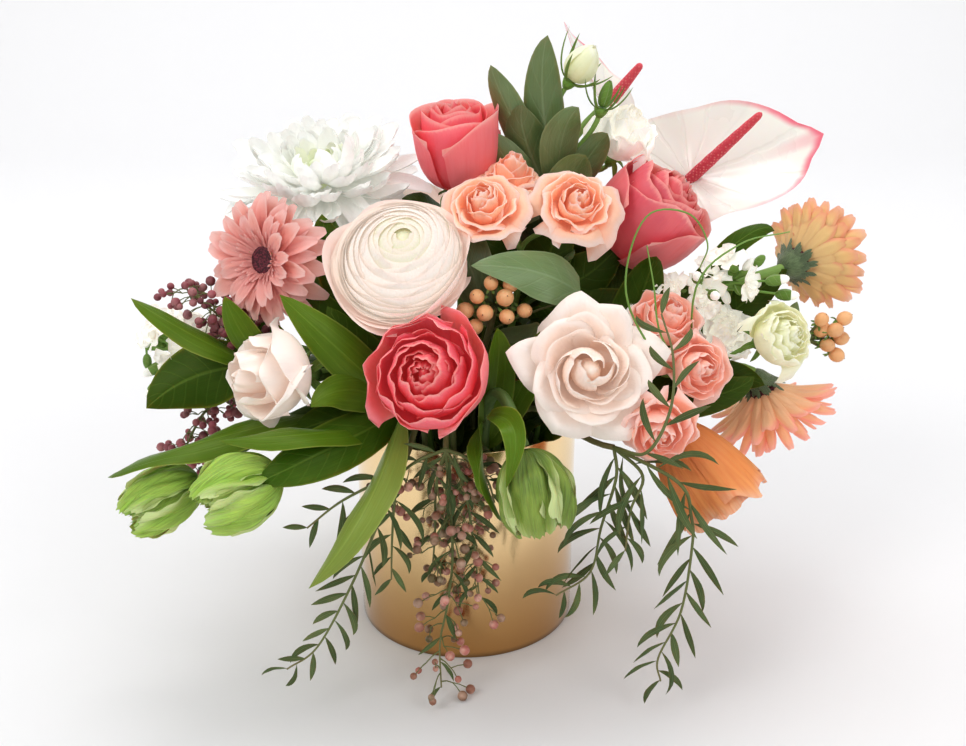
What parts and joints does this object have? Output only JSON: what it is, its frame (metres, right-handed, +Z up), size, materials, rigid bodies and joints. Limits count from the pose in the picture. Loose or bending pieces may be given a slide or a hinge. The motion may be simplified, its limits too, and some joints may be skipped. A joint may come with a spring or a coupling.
{
  "type": "floral table centerpiece",
  "caption": "Loose round arrangement of cut garden flowers, berries and hanging foliage standing in water in a straight gold cylinder vase.",
  "frame": {"origin": "centre of the vase's underside, on the table", "axes": "+Z up along the vase's axis, -Y towards the front of the arrangement, +X to its right as seen from the front"},
  "size_m": [0.3899, 0.2603, 0.333],
  "materials": {
    "anthurium": "waxy white with a pink edge, coral spadix",
    "berry": "dusty pink to burgundy berries on thin stalks",
    "foliage": "fine grey green leaflets",
    "hypericum": "smooth peach berries with a dark tip",
    "leaf": "broad green leaf, slightly glossy",
    "petal_blush": "pale blush with a peach heart",
    "petal_coral": "velvety coral pink with paler rims",
    "petal_cream": "thin cream petals",
    "petal_cream_green": "cream with a green tinge",
    "petal_gerbera_coral": "coral and peach with striped backs",
    "petal_gerbera_peach": "cream peach with orange edges",
    "petal_gerbera_pink": "salmon pink with a burgundy disc",
    "petal_peach": "peach orange, deeper in the folds",
    "petal_poppy": "thin crinkled orange",
    "petal_salmon": "salmon pink with pale edges",
    "petal_tulip": "light green with ragged cream edges",
    "petal_white": "soft white",
    "stem": "smooth green stalk with matt leaves",
    "stock": "soft white florets with green buds",
    "vase": "warm satin gold metal",
    "water": "clear still water"
  },
  "bodies": {
    "root": {"anthurium_back": "anthurium", "anthurium_right": "anthurium", "chrysanthemum_bloom": "petal_white", "chrysanthemum_stem": "stem", "gerbera_coral_bloom": "petal_gerbera_coral", "gerbera_coral_stem": "stem", "gerbera_peach_bloom": "petal_gerbera_peach", "gerbera_peach_stem": "stem", "gerbera_pink_bloom": "petal_gerbera_pink", "gerbera_pink_stem": "stem", "greens_back": "leaf", "greens_front": "leaf", "greens_left": "leaf", "hypericum_centre": "hypericum", "hypericum_right": "hypericum", "lisianthus_cream": "petal_cream_green", "lisianthus_right_stem": "stem", "lisianthus_salmon_1": "petal_salmon", "lisianthus_salmon_2": "petal_salmon", "lisianthus_salmon_3": "petal_salmon", "lisianthus_salmon_stem": "stem", "lisianthus_top_stem": "stem", "lisianthus_white_right": "petal_white", "lisianthus_white_top": "petal_white", "pepper_berries_front": "berry", "pepper_berries_left": "berry", "pepper_leaves_left": "foliage", "pepper_leaves_right": "foliage", "poppy_bloom": "petal_poppy", "poppy_stem": "stem", "ranunculus_bloom": "petal_cream", "ranunculus_stem": "stem", "rose_blush_back_bloom": "petal_blush", "rose_blush_back_stem": "stem", "rose_blush_left_bloom": "petal_blush", "rose_blush_left_stem": "stem", "rose_blush_right_bloom": "petal_blush", "rose_blush_right_stem": "stem", "rose_coral_back_bloom": "petal_coral", "rose_coral_back_stem": "stem", "rose_coral_front_bloom": "petal_coral", "rose_coral_front_stem": "stem", "rose_coral_right_bloom": "petal_coral", "rose_coral_right_stem": "stem", "rose_coral_top_bloom": "petal_coral", "rose_coral_top_stem": "stem", "spray_rose_1": "petal_peach", "spray_rose_2": "petal_peach", "spray_rose_3": "petal_peach", "spray_rose_stem": "stem", "stock_left": "stock", "stock_right": "stock", "tulip_front_bloom": "petal_tulip", "tulip_front_stem": "stem", "tulip_left_inner_bloom": "petal_tulip", "tulip_left_inner_stem": "stem", "tulip_left_outer_bloom": "petal_tulip", "tulip_left_outer_stem": "stem", "vase": "vase", "water": "water"}
  },
  "joints": []
}
